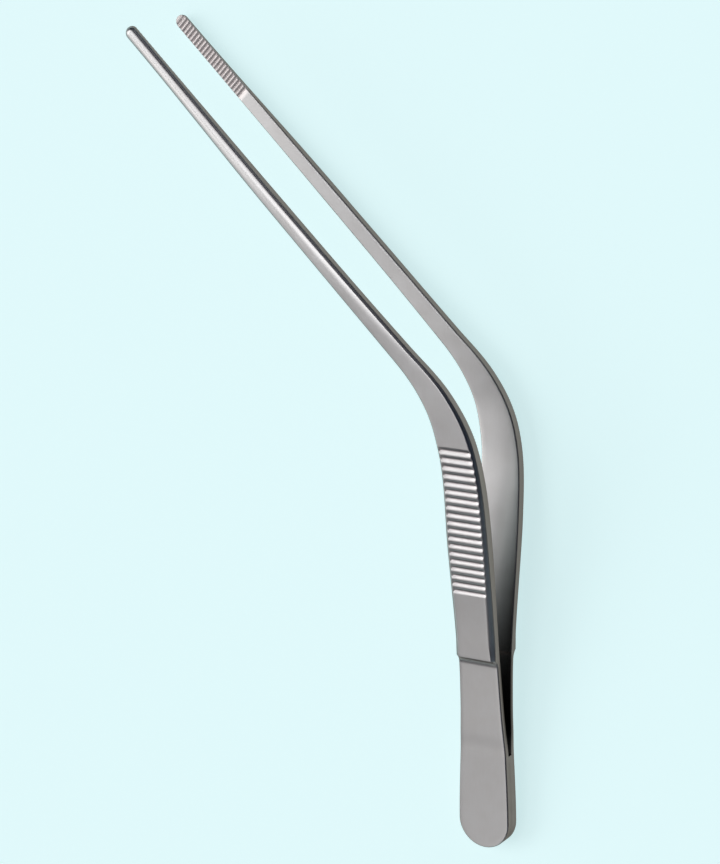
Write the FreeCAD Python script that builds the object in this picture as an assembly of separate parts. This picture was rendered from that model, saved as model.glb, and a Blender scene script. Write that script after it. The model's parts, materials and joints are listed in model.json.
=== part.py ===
import FreeCAD, Part
import itertools
import math
import os

# Angled thumb forceps, in millimetres.
# Two forged limbs lie face to face in the heel, where they are welded.
# A place on a limb is given by its station, which is the length along the
# centre line from the heel end, its offset across the wide face, and its
# height above the plane between the limbs. The lower limb mirrors the upper
# one in that plane. The finished pair lies on its lower limb, as it comes to
# rest on a table.

# Lengths along the centre line
WELD_LENGTH = 15.7
SPRING_LENGTH = 15.1
STEP_RUN = 1.5
GRIP_LENGTH = 22.1
BEND_LENGTH = 28.8
JAW_LENGTH = 67.6
BEND_ANGLE = 46.0
BEND_LATENESS = 1.2

# Half widths of the wide face, from the heel to the tip
HEEL_HALF_WIDTH = 4.4
WELD_END_HALF_WIDTH = 4.07
SPRING_HALF_WIDTH = 3.64
STEP_HALF_WIDTH = 3.46
GRIP_HALF_WIDTH = 3.6
BEND_ENTRY_HALF_WIDTH = 3.1
BEND_EXIT_HALF_WIDTH = 2.33
JAW_HALF_WIDTH = 1.65
MID_JAW_HALF_WIDTH = 1.33
TIP_HALF_WIDTH = 1.1

# From the plane between the limbs to an inner face
WELD_RELIEF = 0.45
SPRING_START_GAP = 0.76
SPRING_GAP = 1.7
GRIP_GAP = 4.4
BEND_ENTRY_GAP = 5.62
BEND_EXIT_GAP = 6.15
JAW_GAP = 6.65

# Thickness of the flat plate at the heel and the spring
HEEL_THICKNESS = 1.45
SPRING_THICKNESS = 0.9
PLATE_EDGE = 0.18
SPRING_INNER_EDGE = 0.1

# Degrees of the ellipse that the step's concave foot follows
STEP_TURN = 70.0

# Forged part: flat sides, then bevels, then a crown across the outer face
STEP_SIDE = 1.4
GRIP_SIDE = 1.2
BEND_SIDE = 1.55
JAW_SIDE = 1.25
MID_JAW_SIDE = 1.12
TIP_SIDE = 0.25
STEP_BEVEL = 0.6
GRIP_BEVEL = 0.82
BEVEL_RUN_IN = 3.0
BEND_BEVEL = 0.72
JAW_BEVEL = 0.4
TIP_BEVEL = 0.6
TIP_CROWN = 0.28
INNER_EDGE = 0.25
TIP_INNER_EDGE = 0.11

# Where along its stretch each of those sizes holds
SPRING_START_AT = 0.25
SPRING_WAIST_AT = 0.55
GRIP_WIDEST_AT = 0.8
BEND_GAP_ENTRY_AT = 0.35
BEND_GAP_EXIT_AT = 0.65
BEND_ENTRY_AT = 0.42
BEND_EXIT_AT = 0.7
FULL_GAP_AT = 0.3
MID_JAW_AT = 0.45

# Thumb grip: grooves that leave rounded ridges
GROOVES = 19
RIDGE_PITCH = 1.275
PLAIN_LAND = 10.65
GROOVE_DEPTH = 0.24
GROOVE_FLANK_ANGLE = 31.0
RIDGE_EDGE_RADIUS = 0.35
GROOVE_FLOOR_RADIUS = 0.3

# Jaw teeth: V grooves across the inner face
TOOTH_GROOVES = 22
TOOTH_PITCH = 0.73
TOOTH_GROOVE_WIDTH = 0.48
TOOTH_GROOVE_DEPTH = 0.24
TIP_LAND = 0.5

# How far a cutter stands proud of the metal that it leaves
CUT_OVER = 2.0

# Handle of a cubic curve that follows a quarter circle, for a radius of one
QUARTER_ROUND = 0.5523

# Turns from the handle's start to the jaw's root in the sum of the bend
BEND_STEPS = 32

SPRING_END = WELD_LENGTH + SPRING_LENGTH
GRIP_START = SPRING_END + STEP_RUN
BEND_START = GRIP_START + GRIP_LENGTH
BEND_END = BEND_START + BEND_LENGTH
LIMB_LENGTH = BEND_END + JAW_LENGTH
JAW_SKIN_END = LIMB_LENGTH - TIP_HALF_WIDTH
MID_JAW = BEND_END + MID_JAW_AT * JAW_LENGTH
FIRST_GROOVE = GRIP_START + PLAIN_LAND + RIDGE_PITCH / 2
FIRST_TOOTH = LIMB_LENGTH - TIP_LAND - TOOTH_GROOVES * TOOTH_PITCH


def smooth_profile(*pairs):
    """A smooth curve through (station, value) pairs that never swings past them."""
    stations = [pair[0] for pair in pairs]
    values = [pair[1] for pair in pairs]
    spans = [b - a for a, b in zip(stations, stations[1:])]
    rises = [(b - a) / span for a, b, span in zip(values, values[1:], spans)]
    slopes = [0.0]
    for before, after in zip(rises, rises[1:]):
        slopes.append(2 * before * after / (before + after) if before * after > 0 else 0.0)
    slopes.append(0.0)

    def value_at(station):
        station = min(max(station, stations[0]), stations[-1])
        i = max(k for k in range(len(spans)) if stations[k] <= station)
        t = (station - stations[i]) / spans[i]
        start = (1 + 2 * t) * (1 - t) ** 2 * values[i] + t * (1 - t) ** 2 * spans[i] * slopes[i]
        end = t * t * (3 - 2 * t) * values[i + 1] + t * t * (t - 1) * spans[i] * slopes[i + 1]
        return start + end

    return value_at


def smooth_step(t):
    t = min(max(t, 0.0), 1.0)
    return t * t * (3 - 2 * t)


half_width = smooth_profile(
    (HEEL_HALF_WIDTH, HEEL_HALF_WIDTH),
    (WELD_LENGTH, WELD_END_HALF_WIDTH),
    (WELD_LENGTH + SPRING_WAIST_AT * SPRING_LENGTH, SPRING_HALF_WIDTH),
    (GRIP_START, STEP_HALF_WIDTH),
    (GRIP_START + GRIP_WIDEST_AT * GRIP_LENGTH, GRIP_HALF_WIDTH),
    (BEND_START + BEND_ENTRY_AT * BEND_LENGTH, BEND_ENTRY_HALF_WIDTH),
    (BEND_START + BEND_EXIT_AT * BEND_LENGTH, BEND_EXIT_HALF_WIDTH),
    (BEND_END, JAW_HALF_WIDTH),
    (MID_JAW, MID_JAW_HALF_WIDTH),
    (JAW_SKIN_END, TIP_HALF_WIDTH),
)

inner_height = smooth_profile(
    (WELD_LENGTH, WELD_RELIEF),
    (WELD_LENGTH + SPRING_START_AT * SPRING_LENGTH, SPRING_START_GAP),
    (SPRING_END, SPRING_GAP),
    (BEND_START, GRIP_GAP),
    (BEND_START + BEND_GAP_ENTRY_AT * BEND_LENGTH, BEND_ENTRY_GAP),
    (BEND_START + BEND_GAP_EXIT_AT * BEND_LENGTH, BEND_EXIT_GAP),
    (BEND_END + FULL_GAP_AT * JAW_LENGTH, JAW_GAP),
    (LIMB_LENGTH, JAW_GAP),
)

spring_thickness = smooth_profile(
    (WELD_LENGTH, HEEL_THICKNESS - WELD_RELIEF),
    (SPRING_END, SPRING_THICKNESS),
)

side_height = smooth_profile(
    (GRIP_START, STEP_SIDE),
    (GRIP_START + BEVEL_RUN_IN, GRIP_SIDE),
    (BEND_START, BEND_SIDE),
    (BEND_END, JAW_SIDE),
    (MID_JAW, MID_JAW_SIDE),
    (JAW_SKIN_END, TIP_SIDE),
)

bevel_size = smooth_profile(
    (GRIP_START, STEP_BEVEL),
    (GRIP_START + BEVEL_RUN_IN, GRIP_BEVEL),
    (BEND_START, BEND_BEVEL),
    (BEND_END, JAW_BEVEL),
    (JAW_SKIN_END, TIP_BEVEL),
)

inner_bevel = smooth_profile(
    (SPRING_END, SPRING_INNER_EDGE),
    (GRIP_START, INNER_EDGE),
    (MID_JAW, INNER_EDGE),
    (JAW_SKIN_END, TIP_INNER_EDGE),
)


def roundness(station):
    """The outer edges go from flat bevels at the jaw's root to half round at its tip."""
    return smooth_step((station - BEND_END) / (JAW_SKIN_END - BEND_END))


def crown(station):
    return TIP_CROWN * smooth_step((station - BEND_START) / (JAW_SKIN_END - BEND_START))


def face_height(station):
    """The height of the outer face where it meets the bevels."""
    return inner_height(station) + side_height(station) + bevel_size(station)


def heading(station):
    """How far the centre line has turned from the handle's direction, in radians."""
    share = max(station - BEND_START, 0.0) / BEND_LENGTH
    return math.radians(BEND_ANGLE) * smooth_step(share ** BEND_LATENESS)


def path_point(station):
    """A point of the centre line. The bend is summed by Simpson's rule."""
    bent = min(max(station - BEND_START, 0.0), BEND_LENGTH)
    beyond = max(station - BEND_END, 0.0)
    x = -beyond * math.sin(heading(station))
    y = min(station, BEND_START) + beyond * math.cos(heading(station))
    for k in range(BEND_STEPS + 1):
        weight = 1 if k in (0, BEND_STEPS) else 2 + 2 * (k % 2)
        angle = heading(BEND_START + bent * k / BEND_STEPS)
        x -= weight * math.sin(angle) * bent / (3 * BEND_STEPS)
        y += weight * math.cos(angle) * bent / (3 * BEND_STEPS)
    return FreeCAD.Vector(x, y, 0)


def across(station):
    return FreeCAD.Vector(math.cos(heading(station)), math.sin(heading(station)), 0)


def limb_point(station, offset, height):
    return path_point(station) + across(station) * offset + FreeCAD.Vector(0, 0, height)


def spaced(start, end, count):
    return [start + (end - start) * k / (count - 1) for k in range(count)]


class Section:
    """The outline of a limb at one station, as curves in (offset, height)."""

    def __init__(self, station, inner, side, bevel, edge, round_part=0.0, top_rise=0.0):
        self.station = station
        self.inner = inner
        self.width = half_width(station)
        self.side = inner + side
        self.bevel = bevel
        self.flat = self.width - bevel
        self.face = self.side + bevel
        self.edge = edge
        self.round_part = round_part
        self.top_rise = top_rise

    def inner_edge(self, sign):
        """The small bevel between the inner face and a side."""
        return [(sign * (self.width - self.edge), self.inner), (sign * self.width, self.inner + self.edge)]

    def shoulder(self, sign):
        """The bevel between a side and the outer face, flat or rounded."""
        third = (1 - self.round_part) * self.bevel / 3
        pull = self.round_part * QUARTER_ROUND * self.bevel
        return [
            (sign * self.width, self.side),
            (sign * (self.width - third), self.side + third + pull),
            (sign * (self.flat + third + pull), self.face - third),
            (sign * self.flat, self.face),
        ]

    def top(self):
        peak = self.face + self.top_rise * 4 / 3
        middle = [(self.flat / 3, peak), (-self.flat / 3, peak)]
        return [(self.flat, self.face)] + middle + [(-self.flat, self.face)]

    def curve(self, points):
        shape = Part.BezierCurve()
        shape.setPoles([limb_point(self.station, *point) for point in points])
        return shape

    def side_curves(self, sign):
        """The curves of one side, from the inner face up to the outer one."""
        foot = (sign * self.width, self.inner)
        curves = []
        if self.edge:
            curves.append(self.inner_edge(sign))
            foot = self.inner_edge(sign)[-1]
        curves.append([foot, self.shoulder(sign)[0]])
        curves.append(self.shoulder(sign))
        return curves

    def wire(self):
        right = self.side_curves(1)
        left = [points[::-1] for points in self.side_curves(-1)[::-1]]
        base = [left[-1][-1], right[0][0]]
        return Part.Wire([self.curve(points).toShape() for points in [base] + right + [self.top()] + left])

    def turned_end(self, degrees):
        """A round end, as wide as the limb, made by turning half of the section."""
        half_top = self.curve(self.top())
        half_top.segment(0, 0.5)
        right = self.side_curves(1)
        middle = [(0, self.face + self.top_rise), (0, self.inner)]
        edges = [self.curve([middle[1], right[0][0]]).toShape()]
        edges += [self.curve(points).toShape() for points in right]
        edges += [half_top.toShape(), self.curve(middle).toShape()]
        half = Part.Face(Part.Wire(edges))
        return half.revolve(path_point(self.station), FreeCAD.Vector(0, 0, 1), degrees)


def heel_section(station):
    """The heel's sides and bevels, run on past the two flat faces that the heel is cut to."""
    side = HEEL_THICKNESS - PLATE_EDGE + CUT_OVER
    return Section(station, -CUT_OVER, side, PLATE_EDGE + CUT_OVER, 0)


def spring_section(station):
    side = spring_thickness(station) - PLATE_EDGE
    return Section(station, inner_height(station), side, PLATE_EDGE, inner_bevel(station))


def step_section(turn):
    """The concave foot of the step, where an ellipse has turned so far up from the spring's face."""
    whole = math.radians(STEP_TURN)
    station = SPRING_END + STEP_RUN * math.sin(turn) / math.sin(whole)
    share = (1 - math.cos(turn)) / (1 - math.cos(whole))
    low = (spring_thickness(station) - PLATE_EDGE, PLATE_EDGE)
    side, bevel = [a + (b - a) * share for a, b in zip(low, (STEP_SIDE, STEP_BEVEL))]
    return Section(station, inner_height(station), side, bevel, inner_bevel(station))


def forged_section(station):
    """The grip, the bend and the jaw: flat inside, bevelled to half round outside."""
    sizes = side_height(station), bevel_size(station), inner_bevel(station)
    return Section(station, inner_height(station), *sizes, roundness(station), crown(station))


def loft(sections):
    return Part.makeLoft([section.wire() for section in sections], True)


def heel():
    """The round ended heel plate, flat on the face that meets the other limb and on the outer one."""
    sections = [heel_section(s) for s in spaced(HEEL_HALF_WIDTH, WELD_LENGTH, 5)]
    blank = sections[0].turned_end(-180).fuse(loft(sections))
    reach = HEEL_HALF_WIDTH + CUT_OVER
    corner = FreeCAD.Vector(-reach, -CUT_OVER, 0)
    return blank.common(Part.makeBox(2 * reach, WELD_LENGTH + 2 * CUT_OVER, HEEL_THICKNESS, corner))


def plain_limb():
    """The limb before its grooves and teeth, from the heel end to the tip."""
    spring = [spring_section(s) for s in spaced(WELD_LENGTH, SPRING_END, 6)]
    step = [step_section(turn) for turn in spaced(0, math.radians(STEP_TURN), 6)]
    stations = spaced(GRIP_START, GRIP_START + BEVEL_RUN_IN, 3)
    stations += spaced(GRIP_START + BEVEL_RUN_IN, BEND_START, 6)[1:]
    stations += spaced(BEND_START, BEND_END, 11)[1:]
    stations += spaced(BEND_END, JAW_SKIN_END, 8)[1:]
    forged = [forged_section(s) for s in stations]
    body = [
        heel(),
        loft(spring),
        loft(step),
        loft(forged),
        forged[-1].turned_end(180),
    ]
    return body[0].fuse(body[1:]).removeSplitter().Solids[0]


def cutter(station, height, sideways, outline):
    """A bar across the limb. Its outline is in (along, outward) on a face of given height."""
    small = 0.01
    behind = limb_point(station - small, 0, height(station - small))
    ahead = limb_point(station + small, 0, height(station + small))
    outward = sideways.cross(ahead - behind).normalize()
    along = outward.cross(sideways)
    reach = half_width(station) + CUT_OVER
    origin = (ahead + behind) * 0.5 - sideways * reach

    def place(point):
        return origin + along * point[0] + outward * point[1]

    return Part.Face(Part.Wire(outline(place))).extrude(sideways * (2 * reach))


def groove_outline(place):
    """Straight flanks between rounded ridge edges and a rounded floor, all tangent."""
    lean = math.radians(GROOVE_FLANK_ANGLE)
    radii = RIDGE_EDGE_RADIUS + GROOVE_FLOOR_RADIUS
    flank_drop = GROOVE_DEPTH - radii * (1 - math.cos(lean))
    mouth = radii * math.sin(lean) + flank_drop / math.tan(lean)

    def on_edge(sign, angle):
        side = sign * (mouth - RIDGE_EDGE_RADIUS * math.sin(angle))
        return place((side, RIDGE_EDGE_RADIUS * (math.cos(angle) - 1)))

    def edge(sign):
        return [on_edge(sign, angle) for angle in (0, lean / 2, lean)]

    def floor_end(sign):
        rise = GROOVE_FLOOR_RADIUS * (1 - math.cos(lean))
        return place((sign * GROOVE_FLOOR_RADIUS * math.sin(lean), rise - GROOVE_DEPTH))

    left, right = edge(-1), edge(1)
    roof = [place((mouth, CUT_OVER)), place((-mouth, CUT_OVER))]
    return [
        Part.Arc(*left).toShape(),
        Part.makeLine(left[2], floor_end(-1)),
        Part.Arc(floor_end(-1), place((0, -GROOVE_DEPTH)), floor_end(1)).toShape(),
        Part.makeLine(floor_end(1), right[2]),
        Part.Arc(*right[::-1]).toShape(),
        Part.makeLine(right[0], roof[0]),
        Part.makeLine(roof[0], roof[1]),
        Part.makeLine(roof[1], left[0]),
    ]


def tooth_outline(place):
    """A V that points up into the inner face and widens below it."""
    corners = [
        place((-TOOTH_GROOVE_WIDTH, -TOOTH_GROOVE_DEPTH)),
        place((TOOTH_GROOVE_WIDTH, -TOOTH_GROOVE_DEPTH)),
        place((0, TOOTH_GROOVE_DEPTH)),
    ]
    return [Part.makeLine(a, b) for a, b in zip(corners, corners[1:] + corners[:1])]


def limb(tooth_shift):
    """One finished limb. The shift is in tooth pitches, so that the two jaws mesh."""
    grooves = [FIRST_GROOVE + k * RIDGE_PITCH for k in range(GROOVES)]
    teeth = [FIRST_TOOTH + (k + tooth_shift) * TOOTH_PITCH for k in range(TOOTH_GROOVES)]
    square = across(0)
    bars = [cutter(s, face_height, square, groove_outline) for s in grooves]
    bars += [cutter(s, inner_height, across(s), tooth_outline) for s in teeth]
    return plain_limb().cut(bars).Solids[0]


def outer_points():
    """Points on the lower limb's outer side that could touch the table."""
    rim = HEEL_HALF_WIDTH - PLATE_EDGE
    turns = [math.radians(180 + 15 * k) for k in range(13)]
    points = [(rim * math.cos(a), HEEL_HALF_WIDTH + rim * math.sin(a), -HEEL_THICKNESS) for a in turns]
    points = [FreeCAD.Vector(*point) for point in points]
    for station in spaced(GRIP_START, JAW_SKIN_END, 28):
        flat = half_width(station) - bevel_size(station)
        for share in (-1, 0, 1):
            height = face_height(station) + crown(station) * (1 - share * share)
            points.append(limb_point(station, share * flat, -height))
    return points


def table_normal(points, centre):
    """The upward normal of the plane that the points rest on under the centre of mass."""
    def side(a, b, p):
        return (b.x - a.x) * (p.y - a.y) - (b.y - a.y) * (p.x - a.x)

    for a, b, c in itertools.combinations(points, 3):
        sides = (side(a, b, centre), side(b, c, centre), side(c, a, centre))
        if min(sides) * max(sides) <= 0:
            continue
        normal = (b - a).cross(c - a).normalize()
        normal = normal if normal.z > 0 else -normal
        if all((p - a).dot(normal) > -1e-6 for p in points):
            return normal
    raise ValueError("no resting plane")


def mesh_points(shapes):
    return [point for shape in shapes for point in shape.tessellate(0.02)[0]]


def lay_down(limbs):
    """Turns both limbs to their rest on the table, with the box's bottom centre at the origin."""
    total = sum(shape.Volume for shape in limbs)
    centre = FreeCAD.Vector()
    for shape in limbs:
        centre += shape.CenterOfMass * (shape.Volume / total)
    normal = table_normal(outer_points(), centre)
    turn = FreeCAD.Rotation(normal, FreeCAD.Vector(0, 0, 1))
    for shape in limbs:
        shape.rotate(FreeCAD.Vector(), turn.Axis, math.degrees(turn.Angle))
    points = mesh_points(limbs)
    middle_x = (min(p.x for p in points) + max(p.x for p in points)) / 2
    middle_y = (min(p.y for p in points) + max(p.y for p in points)) / 2
    shift = FreeCAD.Vector(-middle_x, -middle_y, -min(p.z for p in points))
    for shape in limbs:
        shape.translate(shift)
    heel = turn.multVec(FreeCAD.Vector(0, WELD_LENGTH / 2, HEEL_THICKNESS)) + shift
    print("upper heel face", heel, "facing", turn.multVec(FreeCAD.Vector(0, 0, 1)))
    return limbs


upper = limb(0)
lower = limb(0.5).mirror(FreeCAD.Vector(), FreeCAD.Vector(0, 0, 1))
os.makedirs("parts", exist_ok=True)
for name, shape in zip(("limb_upper", "limb_lower"), lay_down([upper, lower])):
    print(name, shape.ShapeType, len(shape.Solids), shape.isValid(), round(shape.Volume, 1))
    shape.exportStep(f"parts/{name}.step")
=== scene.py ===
import bmesh
import bpy
import copy
import json
import math
from mathutils import Matrix, Vector


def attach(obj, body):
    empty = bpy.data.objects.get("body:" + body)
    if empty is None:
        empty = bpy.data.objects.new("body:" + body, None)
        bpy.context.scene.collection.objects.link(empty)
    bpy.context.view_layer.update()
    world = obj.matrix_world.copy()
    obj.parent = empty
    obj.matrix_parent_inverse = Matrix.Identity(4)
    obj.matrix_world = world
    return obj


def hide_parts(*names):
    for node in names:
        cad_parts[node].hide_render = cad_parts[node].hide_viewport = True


# Angled thumb forceps lying on a pale table.
# Lengths here are in millimetres, as on the limb's drawing. A place on a limb
# is given by its station along the centre line from the heel end, its offset
# across the wide face and its height above the plane between the limbs.

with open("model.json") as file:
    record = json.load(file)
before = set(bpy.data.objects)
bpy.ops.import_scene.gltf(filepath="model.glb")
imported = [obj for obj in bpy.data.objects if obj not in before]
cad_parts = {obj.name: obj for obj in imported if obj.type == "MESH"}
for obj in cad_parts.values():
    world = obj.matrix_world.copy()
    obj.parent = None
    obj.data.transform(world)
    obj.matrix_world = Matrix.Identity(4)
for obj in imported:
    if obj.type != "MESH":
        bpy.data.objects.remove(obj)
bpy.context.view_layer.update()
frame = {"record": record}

MM = 0.001

# Stretches of a limb
WELD_LENGTH = 15.7
SPRING_LENGTH = 15.1
STEP_RUN = 1.5
STEP_TURN = 70.0
STEP_EDGE_RADIUS = 0.2
GRIP_LENGTH = 22.1
BEVEL_RUN_IN = 3.0
BEND_LENGTH = 28.8
JAW_LENGTH = 67.6
BEND_ANGLE = 46.0
BEND_LATENESS = 1.2
TIP_HALF_WIDTH = 1.1
TIP_CROWN = 0.28
HEEL_HALF_WIDTH = 4.4
HEEL_THICKNESS = 1.45
PLATE_EDGE = 0.18

SPRING_END = WELD_LENGTH + SPRING_LENGTH
GRIP_START = SPRING_END + STEP_RUN
BEND_START = GRIP_START + GRIP_LENGTH
BEND_END = BEND_START + BEND_LENGTH
LIMB_LENGTH = BEND_END + JAW_LENGTH
TIP_CENTRE = LIMB_LENGTH - TIP_HALF_WIDTH

# Stations between the ends of the stretches, where a profile has a point of its own
SPRING_START = WELD_LENGTH + 0.25 * SPRING_LENGTH
SPRING_WAIST = WELD_LENGTH + 0.55 * SPRING_LENGTH
GRIP_WIDEST = GRIP_START + 0.8 * GRIP_LENGTH
BEND_GAP_ENTRY = BEND_START + 0.35 * BEND_LENGTH
BEND_ENTRY = BEND_START + 0.42 * BEND_LENGTH
BEND_MIDDLE = BEND_START + 0.5 * BEND_LENGTH
BEND_GAP_EXIT = BEND_START + 0.65 * BEND_LENGTH
BEND_EXIT = BEND_START + 0.7 * BEND_LENGTH
FULL_GAP = BEND_END + 0.3 * JAW_LENGTH
MID_JAW = BEND_END + 0.45 * JAW_LENGTH

# Ridges of the thumb grip and teeth of the jaws
GROOVES = 19
RIDGE_PITCH = 1.275
GROOVE_DEPTH = 0.24
GROOVE_HALF_WIDTH = 0.59
PLAIN_LAND = 10.65
FIRST_GROOVE = GRIP_START + PLAIN_LAND + RIDGE_PITCH / 2
LAST_GROOVE_END = FIRST_GROOVE + GROOVES * RIDGE_PITCH
GROOVED_END = LAST_GROOVE_END + 2.0
TEETH = 22
TOOTH_PITCH = 0.73
TOOTH_DEPTH = 0.15
TOOTH_HALF_WIDTH = 0.3
TIP_LAND = 0.5
FIRST_TOOTH = LIMB_LENGTH - TIP_LAND - TEETH * TOOTH_PITCH

# Forms of a section's corners
NO_EDGE = 0.0001
PLATE_SOFTNESS = 0.15
BEVEL_EASING = 0.65
ROUNDING_GAIN = 1.6
SHOULDER_LIFT = 0.65
SHOULDER_PULL = 0.6
RIM_PULL = 0.4
CORNER_SHARE = 0.45

# Numbers of steps along the curves of a section
INNER_STEPS = 4
RIM_STEPS = 9
SHOULDER_STEPS = 8
HALF_TOP_STEPS = 6
CORNER_STEPS = 4

# Numbers of sections and steps along a limb
HEEL_ROWS = 16
SPRING_ROWS = 40
FOOT_STEPS = 14
STEP_EDGE_STEPS = 6
LAND_ROWS = 24
STEPS_PER_GROOVE = 16
BEND_ROWS = 60
JAW_ROWS = 60
HALF_TOOTH_STEPS = 3
TURN_STEPS = 32
BEND_SUM_STEPS = 32

# Widths over which one finish or painted shade passes into the next
SIDE_MARGIN = 0.14
SIDE_FADE = 0.1
INNER_FADE = 0.3
GROOVE_RUN_OUT = 0.25
GROOVE_RUN_OUT_SHARE = 0.7
TOOTHED_MARGIN = 0.5
TOOTHED_FADE = 0.4

MERGE_DISTANCE = 0.00002
SLIVER_LENGTH = 0.00001
SHARP_ANGLE = 32

# Tints of the steel, and the colours of its painted shade
CLOUDED_STEEL = (0.485, 0.475, 0.467, 1)
CLEAR_STEEL = (0.52, 0.515, 0.513, 1)
# Painted shade on the sides and the step's slope
SIDE_SHADE_STEEL = (0.35, 0.278, 0.25, 1)
TOOTHED_STEEL = (0.6, 0.56, 0.55, 1)
# Painted shade in the bottoms of the grooves and teeth
GROOVE_SHADE_STEEL = (0.39, 0.34, 0.345, 1)
# Painted shade: black laid on the inner face where the limbs part
GAP_SHADE_BLACK = (0.0, 0.0, 0.0, 1)

# Photograph: angles of the view in degrees, distance and frame
VIEW_TURN = -31.2155
VIEW_TILT = 15.5728
VIEW_ROLL = 1.2437
VIEW_DISTANCE = 468.7
VIEW_CENTRE = (-20.0, 70.0, 0.0)
VIEW_SLIDE = (1.6946, 4.5178)
PIXELS_PER_MM = 6.4272
FRAME_HEIGHT = 864


def smooth_profile(*pairs):
    """A smooth curve through (station, value) pairs that never swings past them."""
    stations = [pair[0] for pair in pairs]
    values = [pair[1] for pair in pairs]
    spans = [b - a for a, b in zip(stations, stations[1:])]
    rises = [(b - a) / span for a, b, span in zip(values, values[1:], spans)]
    slopes = [0.0]
    for before, after in zip(rises, rises[1:]):
        slopes.append(2 * before * after / (before + after) if before * after > 0 else 0.0)
    slopes.append(0.0)

    def value_at(station):
        station = min(max(station, stations[0]), stations[-1])
        i = max(k for k in range(len(spans)) if stations[k] <= station)
        t = (station - stations[i]) / spans[i]
        start = (1 + 2 * t) * (1 - t) ** 2 * values[i] + t * (1 - t) ** 2 * spans[i] * slopes[i]
        end = t * t * (3 - 2 * t) * values[i + 1] + t * t * (t - 1) * spans[i] * slopes[i + 1]
        return start + end

    return value_at


def smooth_step(t):
    t = min(max(t, 0.0), 1.0)
    return t * t * (3 - 2 * t)


half_width = smooth_profile(
    (HEEL_HALF_WIDTH, HEEL_HALF_WIDTH),
    (WELD_LENGTH, 4.07),
    (SPRING_WAIST, 3.64),
    (GRIP_START, 3.46),
    (GRIP_WIDEST, 3.6),
    (BEND_ENTRY, 3.1),
    (BEND_EXIT, 2.33),
    (BEND_END, 1.65),
    (MID_JAW, 1.33),
    (TIP_CENTRE, TIP_HALF_WIDTH),
)

inner_height = smooth_profile(
    (WELD_LENGTH, 0.45),
    (SPRING_START, 0.76),
    (SPRING_END, 1.7),
    (BEND_START, 4.4),
    (BEND_GAP_ENTRY, 5.62),
    (BEND_GAP_EXIT, 6.15),
    (FULL_GAP, 6.65),
    (LIMB_LENGTH, 6.65),
)

spring_thickness = smooth_profile((WELD_LENGTH, 1.0), (SPRING_END, 0.9))

side_height = smooth_profile(
    (GRIP_START, 1.4),
    (GRIP_START + BEVEL_RUN_IN, 1.2),
    (BEND_START, 1.55),
    (BEND_END, 1.25),
    (MID_JAW, 1.12),
    (TIP_CENTRE, 0.25),
)

bevel_size = smooth_profile(
    (GRIP_START, 0.6),
    (GRIP_START + BEVEL_RUN_IN, 0.82),
    (BEND_START, 0.72),
    (BEND_END, 0.4),
    (TIP_CENTRE, 0.6),
)

# How large the rounded edge between the inner face and a side is
inner_edge_size = smooth_profile(
    (SPRING_END, 0.1),
    (GRIP_START, 0.25),
    (BEND_START, 0.25),
    (BEND_END, 0.4),
    (MID_JAW, 0.4),
    (TIP_CENTRE, 0.11),
)

# The radius that softens both ends of the outer bevel
edge_softness = smooth_profile(
    (GRIP_START, 0.12),
    (BEND_START, 0.25),
    (BEND_MIDDLE, 0.5),
    (BEND_END, 0.5),
)

# How strongly shade is painted on the inner face, deepest where the limbs part
gap_shade_strength = smooth_profile(
    (WELD_LENGTH, 0.0),
    (20.0, 0.85),
    (34.0, 0.62),
    (43.0, 0.46),
    (49.0, 0.3),
    (58.0, 0.2),
    (69.0, 0.18),
    (95.0, 0.0),
)


def roundness(station):
    """The outer edges go from bevels at the jaw's root to half round at its tip."""
    return smooth_step((station - BEND_END) / (TIP_CENTRE - BEND_END))


def crown(station):
    """How far the middle of the outer face rises above its edges."""
    return TIP_CROWN * smooth_step((station - BEND_START) / (TIP_CENTRE - BEND_START))


def heading(station):
    """How far the centre line has turned from the handle's direction, in radians."""
    share = max(station - BEND_START, 0.0) / BEND_LENGTH
    return math.radians(BEND_ANGLE) * smooth_step(share ** BEND_LATENESS)


def path_point(station):
    """A point of the centre line. The bend is summed by Simpson's rule."""
    bent = min(max(station - BEND_START, 0.0), BEND_LENGTH)
    beyond = max(station - BEND_END, 0.0)
    x = -beyond * math.sin(heading(station))
    y = min(station, BEND_START) + beyond * math.cos(heading(station))
    for k in range(BEND_SUM_STEPS + 1):
        weight = 1 if k in (0, BEND_SUM_STEPS) else 2 + 2 * (k % 2)
        angle = heading(BEND_START + bent * k / BEND_SUM_STEPS)
        x -= weight * math.sin(angle) * bent / (3 * BEND_SUM_STEPS)
        y += weight * math.cos(angle) * bent / (3 * BEND_SUM_STEPS)
    return Vector((x, y, 0.0))


def across(station):
    return Vector((math.cos(heading(station)), math.sin(heading(station)), 0.0))


def rest_place():
    """From a limb's own drawing to its rest on the table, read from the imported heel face."""
    mount = frame["record"]["mounts"][0]
    turn = Vector((0, 0, 1)).rotation_difference(Vector(mount["axis"])).to_matrix().to_4x4()
    heel_face = Vector((0, WELD_LENGTH / 2, HEEL_THICKNESS)) * MM
    return Matrix.Translation(mount["pos_m"]) @ turn @ Matrix.Translation(-heel_face)


REST = rest_place()


def softened(points, radii, steps):
    """A path whose corners are rounded. A rounded corner always gives the same number of points."""
    path = [points[0]]
    for before, corner, after, radius in zip(points, points[1:], points[2:], radii):
        if radius is None:
            path.append(corner)
            continue
        back, ahead = before - corner, after - corner
        turn = math.pi - back.angle(ahead, math.pi)
        most = (CORNER_SHARE * back.length, CORNER_SHARE * ahead.length)
        reach = min(radius * math.tan(turn / 2), *most)
        start, end = corner + back.normalized() * reach, corner + ahead.normalized() * reach
        for k in range(steps + 1):
            t = k / steps
            path.append(start * (1 - t) ** 2 + corner * (2 * t * (1 - t)) + end * t * t)
    return path + [points[-1]]


def cubic(poles, t):
    a, b, c, d = poles
    return a * (1 - t) ** 3 + b * (3 * t * (1 - t) ** 2) + c * (3 * t * t * (1 - t)) + d * t ** 3


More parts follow.
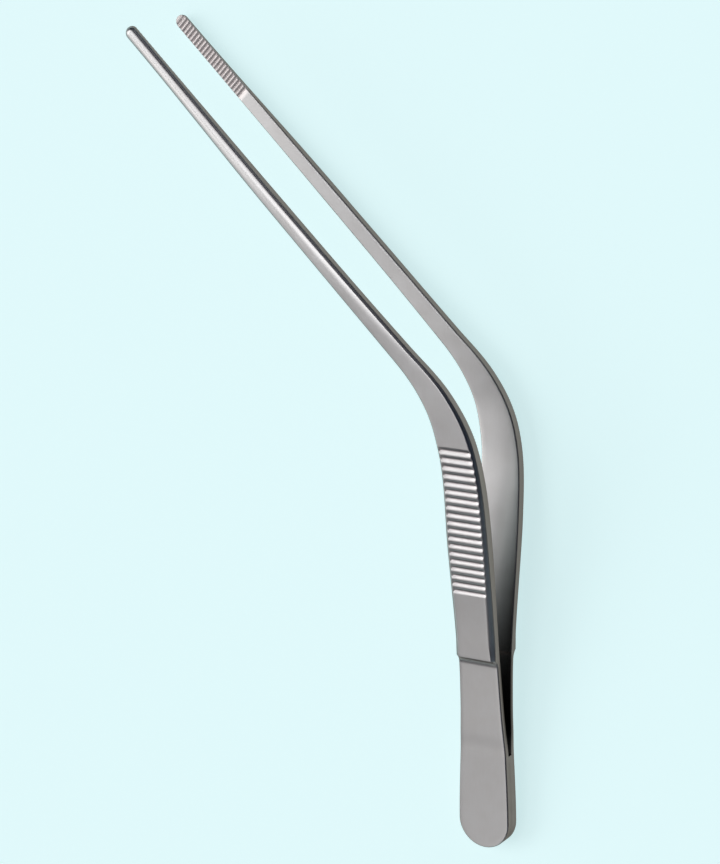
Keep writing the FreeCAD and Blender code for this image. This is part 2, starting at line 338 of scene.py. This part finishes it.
class Section:
    """One side of a limb's outline at a station, from the middle of the inner face to the outer one.

    The round part says how far the outer bevel has turned into a round shoulder,
    the top rise how high the outer face is crowned, and the easing how softly
    the bevel runs into that face.
    """

    def __init__(
        self, station, inner, side, bevel, edge, softness, round_part=0.0, top_rise=0.0, easing=0.0
    ):
        self.inner = inner
        self.face = inner + side + bevel
        self.step_share = 0.0
        self.width = width = half_width(station)
        self.shoulder = flat = width - bevel

        rounded = min(ROUNDING_GAIN * round_part, 1.0)
        lift = SHOULDER_LIFT * round_part * top_rise
        low, high = Vector((width, inner + side)), Vector((flat, self.face + lift))
        slope = 2 * (top_rise - lift) / flat
        meeting = Vector((width, high.y - bevel * slope))
        eased = high.lerp(low, 1 / 3).lerp(high.lerp(meeting, 0.5), easing)
        shoulder = [
            low,
            low.lerp(high, 1 / 3).lerp(low.lerp(meeting, SHOULDER_PULL), rounded),
            eased.lerp(high.lerp(meeting, SHOULDER_PULL), rounded),
            high,
        ]

        peak = high.y + (top_rise - lift) * 4 / 3
        top = [high, Vector((flat / 3, peak)), Vector((-flat / 3, peak)), Vector((-flat, high.y))]
        rim = [
            Vector((width - edge, inner)),
            Vector((width - RIM_PULL * edge, inner)),
            Vector((width, inner + RIM_PULL * edge)),
            Vector((width, inner + edge)),
        ]

        inner_step = (width - edge) / INNER_STEPS
        points = [Vector((inner_step * k, inner)) for k in range(INNER_STEPS)]
        points += [cubic(rim, k / RIM_STEPS) for k in range(RIM_STEPS + 1)]
        points += [cubic(shoulder, k / SHOULDER_STEPS) for k in range(SHOULDER_STEPS + 1)]
        points += [cubic(top, k / (2 * HALF_TOP_STEPS)) for k in range(1, HALF_TOP_STEPS + 1)]
        radii = [None] * (INNER_STEPS + RIM_STEPS) + [softness]
        radii += [None] * (SHOULDER_STEPS - 1) + [softness]
        radii += [None] * (HALF_TOP_STEPS - 1)
        self.points = softened(points, radii, CORNER_STEPS)


def heel_section(station):
    side = HEEL_THICKNESS - PLATE_EDGE
    return Section(station, 0.0, side, PLATE_EDGE, NO_EDGE, PLATE_SOFTNESS)


def spring_section(station):
    side = spring_thickness(station) - PLATE_EDGE
    edge = inner_edge_size(station)
    return Section(station, inner_height(station), side, PLATE_EDGE, edge, PLATE_SOFTNESS)


def forged_section(station):
    """The grip, the bend and the jaw: flat inside, bevelled to half round outside."""
    sizes = side_height(station), bevel_size(station), inner_edge_size(station)
    easing = BEVEL_EASING * smooth_step((station - GRIP_START) / BEVEL_RUN_IN)
    rounding = roundness(station), crown(station), easing
    return Section(station, inner_height(station), *sizes, edge_softness(station), *rounding)


def step_rows():
    """The step's concave foot, part of an ellipse, and its slightly rounded edge."""
    rise = forged_section(GRIP_START).face - spring_section(GRIP_START).face
    whole = math.radians(STEP_TURN)
    path = []
    for k in range(FOOT_STEPS + 1):
        turn = whole * k / FOOT_STEPS
        share = (1 - math.cos(turn)) / (1 - math.cos(whole))
        path.append(Vector((SPRING_END + STEP_RUN * math.sin(turn) / math.sin(whole), rise * share)))
    path.append(Vector((GRIP_START + STEP_RUN, rise)))
    radii = [None] * (FOOT_STEPS - 1) + [STEP_EDGE_RADIUS]
    rows = []
    for point in softened(path, radii, STEP_EDGE_STEPS)[1:-1]:
        low, high = spring_section(point.x), forged_section(point.x)
        share = point.y / rise
        mixed = copy.copy(low)
        mixed.face = low.face + (high.face - low.face) * share
        mixed.points = [a.lerp(b, share) for a, b in zip(low.points, high.points)]
        mixed.step_share = share
        rows.append((point.x, mixed))
    return rows


def spaced(start, end, count):
    return [start + (end - start) * k / (count - 1) for k in range(count)]


def limb_rows(tooth_shift):
    """Stations along the limb with their sections: close together at the ridges and the teeth."""
    rows = [(s, heel_section(s)) for s in spaced(HEEL_HALF_WIDTH, WELD_LENGTH, HEEL_ROWS)]
    rows += [(s, spring_section(s)) for s in spaced(WELD_LENGTH, SPRING_END, SPRING_ROWS)]
    rows += step_rows()
    land_end = FIRST_GROOVE - RIDGE_PITCH
    groove_rows = (GROOVES + 1) * STEPS_PER_GROOVE + 1
    stations = spaced(rows[-1][0], land_end, LAND_ROWS)[1:-1]
    stations += spaced(land_end, LAST_GROOVE_END, groove_rows)
    stations += spaced(LAST_GROOVE_END, BEND_END, BEND_ROWS)[1:]
    stations += spaced(BEND_END, FIRST_TOOTH - TOOTH_PITCH, JAW_ROWS)[1:]
    parts = range(-HALF_TOOTH_STEPS, HALF_TOOTH_STEPS + 1)
    first = FIRST_TOOTH + tooth_shift * TOOTH_PITCH
    for k in range(TEETH):
        middle = first + k * TOOTH_PITCH
        stations += [middle + part * TOOTH_HALF_WIDTH / HALF_TOOTH_STEPS for part in parts]
    stations.append(TIP_CENTRE)
    rows += [(s, forged_section(s)) for s in sorted(set(stations)) if s <= TIP_CENTRE]
    return rows


def limb_blank(name, side, tooth_shift):
    """The smooth limb before its grooves. Side is 1 for the upper limb and -1 for the lower one."""
    mesh = bmesh.new()
    floats = mesh.verts.layers.float
    along = floats.new("along")
    above_face = floats.new("above_face")
    above_inner = floats.new("above_inner")
    side_face = floats.new("side_face")
    in_gap = floats.new("in_gap")
    toothed = floats.new("toothed")
    room = floats.new("room")
    floats.new("sunk")
    outward = mesh.verts.layers.float_vector.new("outward")
    up = (REST.to_3x3() @ Vector((0, 0, side))).normalized()

    def vertex(station, section, base, direction, point):
        """A vertex with its distances from the faces and its shares of each finish and painted shade.
        """
        place = base + direction * point.x + Vector((0, 0, side * point.y))
        above = point.y - section.inner
        near_side = smooth_step((point.x - section.width + SIDE_MARGIN) / SIDE_FADE)
        near_inner = smooth_step(1.0 - above / INNER_FADE)
        run_out = smooth_step((point.x - section.shoulder + GROOVE_RUN_OUT) / (2 * GROOVE_RUN_OUT))
        # The step's slope is duller, with painted shade, most at its middle
        step_dullness_and_shade = 3 * section.step_share * (1 - section.step_share)
        v = mesh.verts.new(REST @ (place * MM))
        v[along] = (place.y if station < GROOVED_END else station) * MM
        v[above_face] = (point.y - section.face) * MM
        v[above_inner] = above * MM
        # The sides and the step's slope: a duller finish and painted shade
        v[side_face] = max(near_side, step_dullness_and_shade)
        # Painted shade on the inner face, deepest where the limbs part
        v[in_gap] = gap_shade_strength(station) * near_inner
        v[room] = 1.0 - GROOVE_RUN_OUT_SHARE * run_out
        v[toothed] = smooth_step((station - FIRST_TOOTH + TOOTHED_MARGIN) / TOOTHED_FADE) * near_inner
        v[outward] = up
        return v

    def ring(station, section):
        base, direction = path_point(station), across(station)
        right = [vertex(station, section, base, direction, p) for p in section.points]
        left = [vertex(station, section, base, -direction, p) for p in section.points[1:-1]]
        return right + left[::-1]

    def skin(first, second, closed):
        count = len(first) if closed else len(first) - 1
        for k in range(count):
            j = (k + 1) % len(first)
            mesh.faces.new((first[k], first[j], second[j], second[k]))

    def turned_end(station, section, sense):
        """Half a turn of the section round the upright line through the station."""
        base, direction = path_point(station), across(station)
        forward = Vector((-direction.y, direction.x, 0)) * sense
        fans = []
        for k in range(TURN_STEPS + 1):
            angle = math.pi * k / TURN_STEPS
            reach = direction * math.cos(angle) + forward * math.sin(angle)
            fan = []
            for p in section.points:
                v = vertex(station, section, base, reach, p)
                v[along] = (station + sense * p.x * math.sin(angle)) * MM
                fan.append(v)
            fans.append(fan)
        for first, second in zip(fans, fans[1:]):
            skin(first, second, False)

    rows = limb_rows(tooth_shift)
    rings = [ring(s, section) for s, section in rows]
    for first, second in zip(rings, rings[1:]):
        skin(first, second, True)
    turned_end(*rows[0], -1)
    turned_end(*rows[-1], 1)
    bmesh.ops.remove_doubles(mesh, verts=mesh.verts, dist=MERGE_DISTANCE * MM)
    bmesh.ops.dissolve_degenerate(mesh, edges=mesh.edges, dist=SLIVER_LENGTH * MM)
    bmesh.ops.recalc_face_normals(mesh, faces=mesh.faces)
    data = bpy.data.meshes.new(name)
    mesh.to_mesh(data)
    mesh.free()
    limb = bpy.data.objects.new(name, data)
    bpy.context.scene.collection.objects.link(limb)
    return limb


class Wire:
    """A socket that Python's operators turn into Math nodes."""

    def __init__(self, tree, socket):
        self.tree = tree
        self.socket = socket

    def node(self, kind, settings=None, values=None, output=0):
        """A new node in the same tree. Its settings may hold a colour ramp's stops."""
        made = self.tree.nodes.new(kind)
        for key, value in (settings or {}).items():
            if key == "stops":
                ramp = made.color_ramp.elements
                while len(ramp) < len(value):
                    ramp.new(0.5)
                for element, (place, colour) in zip(ramp, value):
                    element.position = place
                    element.color = colour
            else:
                setattr(made, key, value)
        for key, value in (values or {}).items():
            if isinstance(value, Wire):
                self.tree.links.new(value.socket, made.inputs[key])
            else:
                made.inputs[key].default_value = value
        return Wire(self.tree, made.outputs[output])

    def maths(self, operation, *others):
        values = {0: self}
        values.update({k + 1: other for k, other in enumerate(others)})
        return self.node("ShaderNodeMath", {"operation": operation}, values)

    def stored(self, name):
        """A vertex attribute, read in a material."""
        return self.node("ShaderNodeAttribute", {"attribute_name": name}, output=2)

    def mixed(self, colour, share, blend_type="MIX"):
        """This colour with a share of another one mixed in or added."""
        settings = {"data_type": "RGBA", "blend_type": blend_type}
        return self.node("ShaderNodeMix", settings, {"Factor": share, 6: self, 7: colour}, output=2)

    def __add__(self, other):
        return self.maths("ADD", other)

    def __radd__(self, other):
        return self.maths("ADD", other)

    def __sub__(self, other):
        return self.maths("SUBTRACT", other)

    def __rsub__(self, other):
        return (self * -1.0) + other

    def __mul__(self, other):
        return self.maths("MULTIPLY", other)

    def __rmul__(self, other):
        return self.maths("MULTIPLY", other)

    def __truediv__(self, other):
        return self.maths("DIVIDE", other)

    def __neg__(self):
        return self * -1.0


def cross_grooves_tree():
    """Geometry nodes that sink evenly spaced grooves across a limb, to a floor below its flat face."""
    tree = bpy.data.node_groups.new("cross_grooves", "GeometryNodeTree")
    sockets = tree.interface
    sockets.new_socket(name="Limb", in_out="INPUT", socket_type="NodeSocketGeometry")
    for name in ("First", "Pitch", "Count", "Depth", "Half Width", "Inner Face"):
        sockets.new_socket(name=name, in_out="INPUT", socket_type="NodeSocketFloat")
    sockets.new_socket(name="Steel", in_out="INPUT", socket_type="NodeSocketMaterial")
    sockets.new_socket(name="Limb", in_out="OUTPUT", socket_type="NodeSocketGeometry")
    start = tree.nodes.new("NodeGroupInput")
    given = {socket.name: Wire(tree, socket) for socket in start.outputs if socket.name}
    limb = given["Limb"]

    def stored(name, kind="FLOAT"):
        return limb.node("GeometryNodeInputNamedAttribute", {"data_type": kind}, {"Name": name})

    along = stored("along")
    number = ((along - given["First"]) / given["Pitch"]).maths("ROUND")
    number = number.maths("MAXIMUM", 0.0).maths("MINIMUM", given["Count"] - 1.0)
    distance = (along - given["First"] - number * given["Pitch"]).maths("ABSOLUTE")
    fall = (1.0 - distance / given["Half Width"]).maths("MAXIMUM", 0.0)
    depth = given["Depth"] * fall * fall * (3.0 - 2.0 * fall)
    outer = (-depth * stored("room") - stored("above_face")).maths("MINIMUM", 0.0)
    inner = (depth - stored("above_inner")).maths("MAXIMUM", 0.0)
    lift = outer + (inner - outer) * given["Inner Face"]

    greater = {"data_type": "FLOAT", "operation": "GREATER_THAN"}
    cut = depth.node("FunctionNodeCompare", greater, {0: depth, 1: 0.0})
    direction = stored("outward", "FLOAT_VECTOR")
    move = limb.node("ShaderNodeVectorMath", {"operation": "SCALE"}, {0: direction, "Scale": lift})
    moving = {"Geometry": limb, "Selection": cut, "Offset": move}
    moved = limb.node("GeometryNodeSetPosition", None, moving)

    depth_share = lift.maths("ABSOLUTE").maths("MINIMUM", depth) / given["Depth"]
    sunk = stored("sunk").maths("MAXIMUM", depth_share)
    marking = {"Geometry": moved, "Name": "sunk", "Value": sunk}
    marked = limb.node("GeometryNodeStoreNamedAttribute", None, marking)
    real = limb.node("GeometryNodeRealizeInstances", None, {"Geometry": marked})
    coating = {"Geometry": real, "Material": given["Steel"]}
    done = limb.node("GeometryNodeSetMaterial", None, coating)
    end = tree.nodes.new("NodeGroupOutput")
    tree.links.new(done.socket, end.inputs["Limb"])
    return tree


def cut_grooves(limb, tree, given):
    """Runs the tree on a limb with the given values and keeps its result as a plain mesh."""
    modifier = limb.modifiers.new("cross_grooves", "NODES")
    modifier.node_group = tree
    for item in tree.interface.items_tree:
        if item.in_out == "INPUT" and item.name in given:
            modifier[item.identifier] = given[item.name]
    evaluated = limb.evaluated_get(bpy.context.evaluated_depsgraph_get())
    mesh = bpy.data.meshes.new_from_object(evaluated)
    limb.modifiers.clear()
    limb.data = mesh


def dress_limb(node, side, tooth_shift, tree, steel):
    """A limb with its ridges and teeth. The shift is in tooth pitches, so that the two jaws mesh."""
    limb = limb_blank(node + "_polished", side, tooth_shift)
    ridges = {
        "First": FIRST_GROOVE * MM,
        "Pitch": RIDGE_PITCH * MM,
        "Count": float(GROOVES),
        "Depth": GROOVE_DEPTH * MM,
        "Half Width": GROOVE_HALF_WIDTH * MM,
        "Inner Face": 0.0,
        "Steel": steel,
    }
    teeth = {
        "First": (FIRST_TOOTH + tooth_shift * TOOTH_PITCH) * MM,
        "Pitch": TOOTH_PITCH * MM,
        "Count": float(TEETH),
        "Depth": TOOTH_DEPTH * MM,
        "Half Width": TOOTH_HALF_WIDTH * MM,
        "Inner Face": 1.0,
        "Steel": steel,
    }
    cut_grooves(limb, tree, ridges)
    cut_grooves(limb, tree, teeth)
    limb.data.shade_smooth()
    limb.data.set_sharp_from_angle(angle=math.radians(SHARP_ANGLE))
    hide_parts(node)
    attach(limb, "root")
    return limb


def satin_steel():
    """Stainless steel with a fine satin finish, a little cloudy, faintly drawn along its length.

    The sides and the toothed faces are duller. Painted shade darkens the sides,
    the step's slope, the bottoms of grooves and teeth, and the inner face where the limbs part.
    """
    material = bpy.data.materials.new("satin_steel")
    material.use_nodes = True
    tree = material.node_tree
    tree.nodes.clear()
    start = Wire(tree, None)

    place = start.node("ShaderNodeTexCoord", output=3)
    drawn = start.node("ShaderNodeMapping", None, {"Vector": place, "Scale": (9.0, 0.6, 9.0)})

    def noise(vector, scale, detail, roughness):
        values = {"Vector": vector, "Scale": scale, "Detail": detail, "Roughness": roughness}
        return start.node("ShaderNodeTexNoise", None, values)

    streaks = noise(drawn, 420.0, 3.0, 0.6)
    clouds = noise(place, 330.0, 3.0, 0.55)
    grain = noise(place, 9000.0, 2.0, 0.6)
    # Painted shade and a duller finish on the sides and the step's slope
    side_face = start.stored("side_face")
    # Painted shade: the inner face turns black where the limbs part
    in_gap = start.stored("in_gap")
    toothed = start.stored("toothed")
    # How deep a point lies in a groove or tooth, for the painted shade there
    sunk = start.stored("sunk")

    stops = {"stops": [(0.3, CLOUDED_STEEL), (0.7, CLEAR_STEEL)]}
    polished = start.node("ShaderNodeValToRGB", stops, {"Fac": clouds * 0.7 + streaks * 0.3})
    # Painted shade on the sides and the step's slope, then the toothed faces' own tint
    dulled_and_shaded = polished.mixed(SIDE_SHADE_STEEL, side_face).mixed(TOOTHED_STEEL, toothed)
    # Painted shade in the bottoms of the grooves and teeth, then black on the inner face where the
    # limbs part
    tint = dulled_and_shaded.mixed(GROOVE_SHADE_STEEL, sunk * 0.5).mixed(GAP_SHADE_BLACK, in_gap)
    relief = start.node(
        "ShaderNodeBump",
        None,
        {"Strength": 0.05, "Distance": 0.02 * MM, "Height": grain * 0.6 + streaks * 0.4},
    )
    steel = start.node(
        "ShaderNodeBsdfPrincipled",
        None,
        {
            "Base Color": tint,
            "Metallic": 1.0,
            "Specular Tint": (0.3, 0.28, 0.26, 1),
            "Roughness": 0.27 + clouds * 0.04 + streaks * 0.02 + side_face * 0.2 + toothed * 0.2,
            "Normal": relief,
        },
    )
    output = tree.nodes.new("ShaderNodeOutputMaterial")
    tree.links.new(steel.socket, output.inputs["Surface"])
    return material


def table():
    """A plain pale table top that glows softly, wide enough to fill every view."""
    reach = 3.0
    corners = [(-reach, -reach, 0), (reach, -reach, 0), (reach, reach, 0), (-reach, reach, 0)]
    data = bpy.data.meshes.new("table")
    data.from_pydata(corners, [], [(0, 1, 2, 3)])
    material = bpy.data.materials.new("pale_table")
    material.use_nodes = True
    shader = material.node_tree.nodes["Principled BSDF"]
    shader.inputs["Base Color"].default_value = (0.35, 0.42, 0.42, 1)
    shader.inputs["Emission Color"].default_value = (0.556, 0.718, 0.728, 1)
    shader.inputs["Emission Strength"].default_value = 1.0
    shader.inputs["Roughness"].default_value = 0.9
    shader.inputs["Specular IOR Level"].default_value = 0.1
    data.materials.append(material)
    top = bpy.data.objects.new("table", data)
    bpy.context.scene.collection.objects.link(top)


# Direction in the limb's own frame, angles in degrees where the light begins and
# ends to fade, colour and strength
SOFT_LIGHTS = [
    ((-0.90, -0.15, 0.41), 13, 29, (1.0, 0.99, 0.98), 1.26),
    ((-0.72, 0.04, 0.69), 5, 23, (1.0, 0.99, 0.98), 2.60),
    ((-0.53, 0.42, 0.74), 4, 13, (1.0, 1.0, 1.0), 3.60),
    ((-0.20, 0.03, 0.98), 3, 17, (0.99, 0.99, 1.0), 2.91),
    ((-0.12, 0.43, 0.89), 4, 16, (1.0, 0.99, 1.0), 1.97),
    ((-0.37, -0.46, 0.80), 4, 13, (1.0, 0.99, 0.97), 1.00),
    ((0.02, -0.73, 0.68), 12, 42, (1.0, 0.97, 0.95), 0.38),
    ((0.35, 0.80, 0.48), 2, 10, (1.0, 0.96, 1.0), 0.55),
    ((0.76, -0.54, 0.36), 2, 10, (0.8, 0.92, 1.0), 0.33),
]


def studio():
    """A dim dome with nine soft lights in it, most of them high on the left."""
    bpy.context.scene.view_settings.view_transform = "Standard"
    world = bpy.data.worlds.new("studio")
    world.use_nodes = True
    bpy.context.scene.world = world
    tree = world.node_tree
    tree.nodes.clear()
    start = Wire(tree, None)
    looking = start.node("ShaderNodeTexCoord", output=0)
    total = start.node("ShaderNodeRGB")
    total.socket.default_value = (0.010, 0.014, 0.032, 1)
    for direction, core, edge, colour, strength in SOFT_LIGHTS:
        aim = (REST.to_3x3() @ Vector(direction)).normalized()
        both = {0: looking, 1: aim}
        facing = start.node("ShaderNodeVectorMath", {"operation": "DOT_PRODUCT"}, both, output=1)
        fade = {
            "Value": facing,
            "From Min": math.cos(math.radians(edge)),
            "From Max": math.cos(math.radians(core)),
        }
        share = start.node("ShaderNodeMapRange", {"interpolation_type": "SMOOTHSTEP"}, fade)
        total = total.mixed(tuple(strength * c for c in colour) + (1,), share, "ADD")
    back = start.node("ShaderNodeBackground", None, {"Color": total, "Strength": 1.0})
    output = tree.nodes.new("ShaderNodeOutputWorld")
    tree.links.new(back.socket, output.inputs["Surface"])


def camera():
    """The photograph's view: turned and tilted from square over the wide faces."""
    view = Matrix.Rotation(math.radians(VIEW_ROLL), 3, "Z")
    view = view @ Matrix.Rotation(math.radians(VIEW_TILT), 3, "X")
    view = view @ Matrix.Rotation(math.radians(VIEW_TURN), 3, "Y")
    slide = view.transposed() @ Vector((*VIEW_SLIDE, 0.0))
    place = Vector(VIEW_CENTRE) - slide + view.transposed() @ Vector((0, 0, VIEW_DISTANCE))
    data = bpy.data.cameras.new("camera")
    data.sensor_fit = "VERTICAL"
    data.sensor_height = 24.0
    data.lens = PIXELS_PER_MM * VIEW_DISTANCE * data.sensor_height / FRAME_HEIGHT
    data.clip_end = 20.0
    eye = bpy.data.objects.new("camera", data)
    bpy.context.scene.collection.objects.link(eye)
    eye.matrix_world = REST @ Matrix.Translation(place * MM) @ view.transposed().to_4x4()
    bpy.context.scene.camera = eye


steel = satin_steel()
grooves = cross_grooves_tree()
dress_limb("limb_upper", 1, 0.0, grooves, steel)
dress_limb("limb_lower", -1, 0.5, grooves, steel)
table()
studio()
camera()
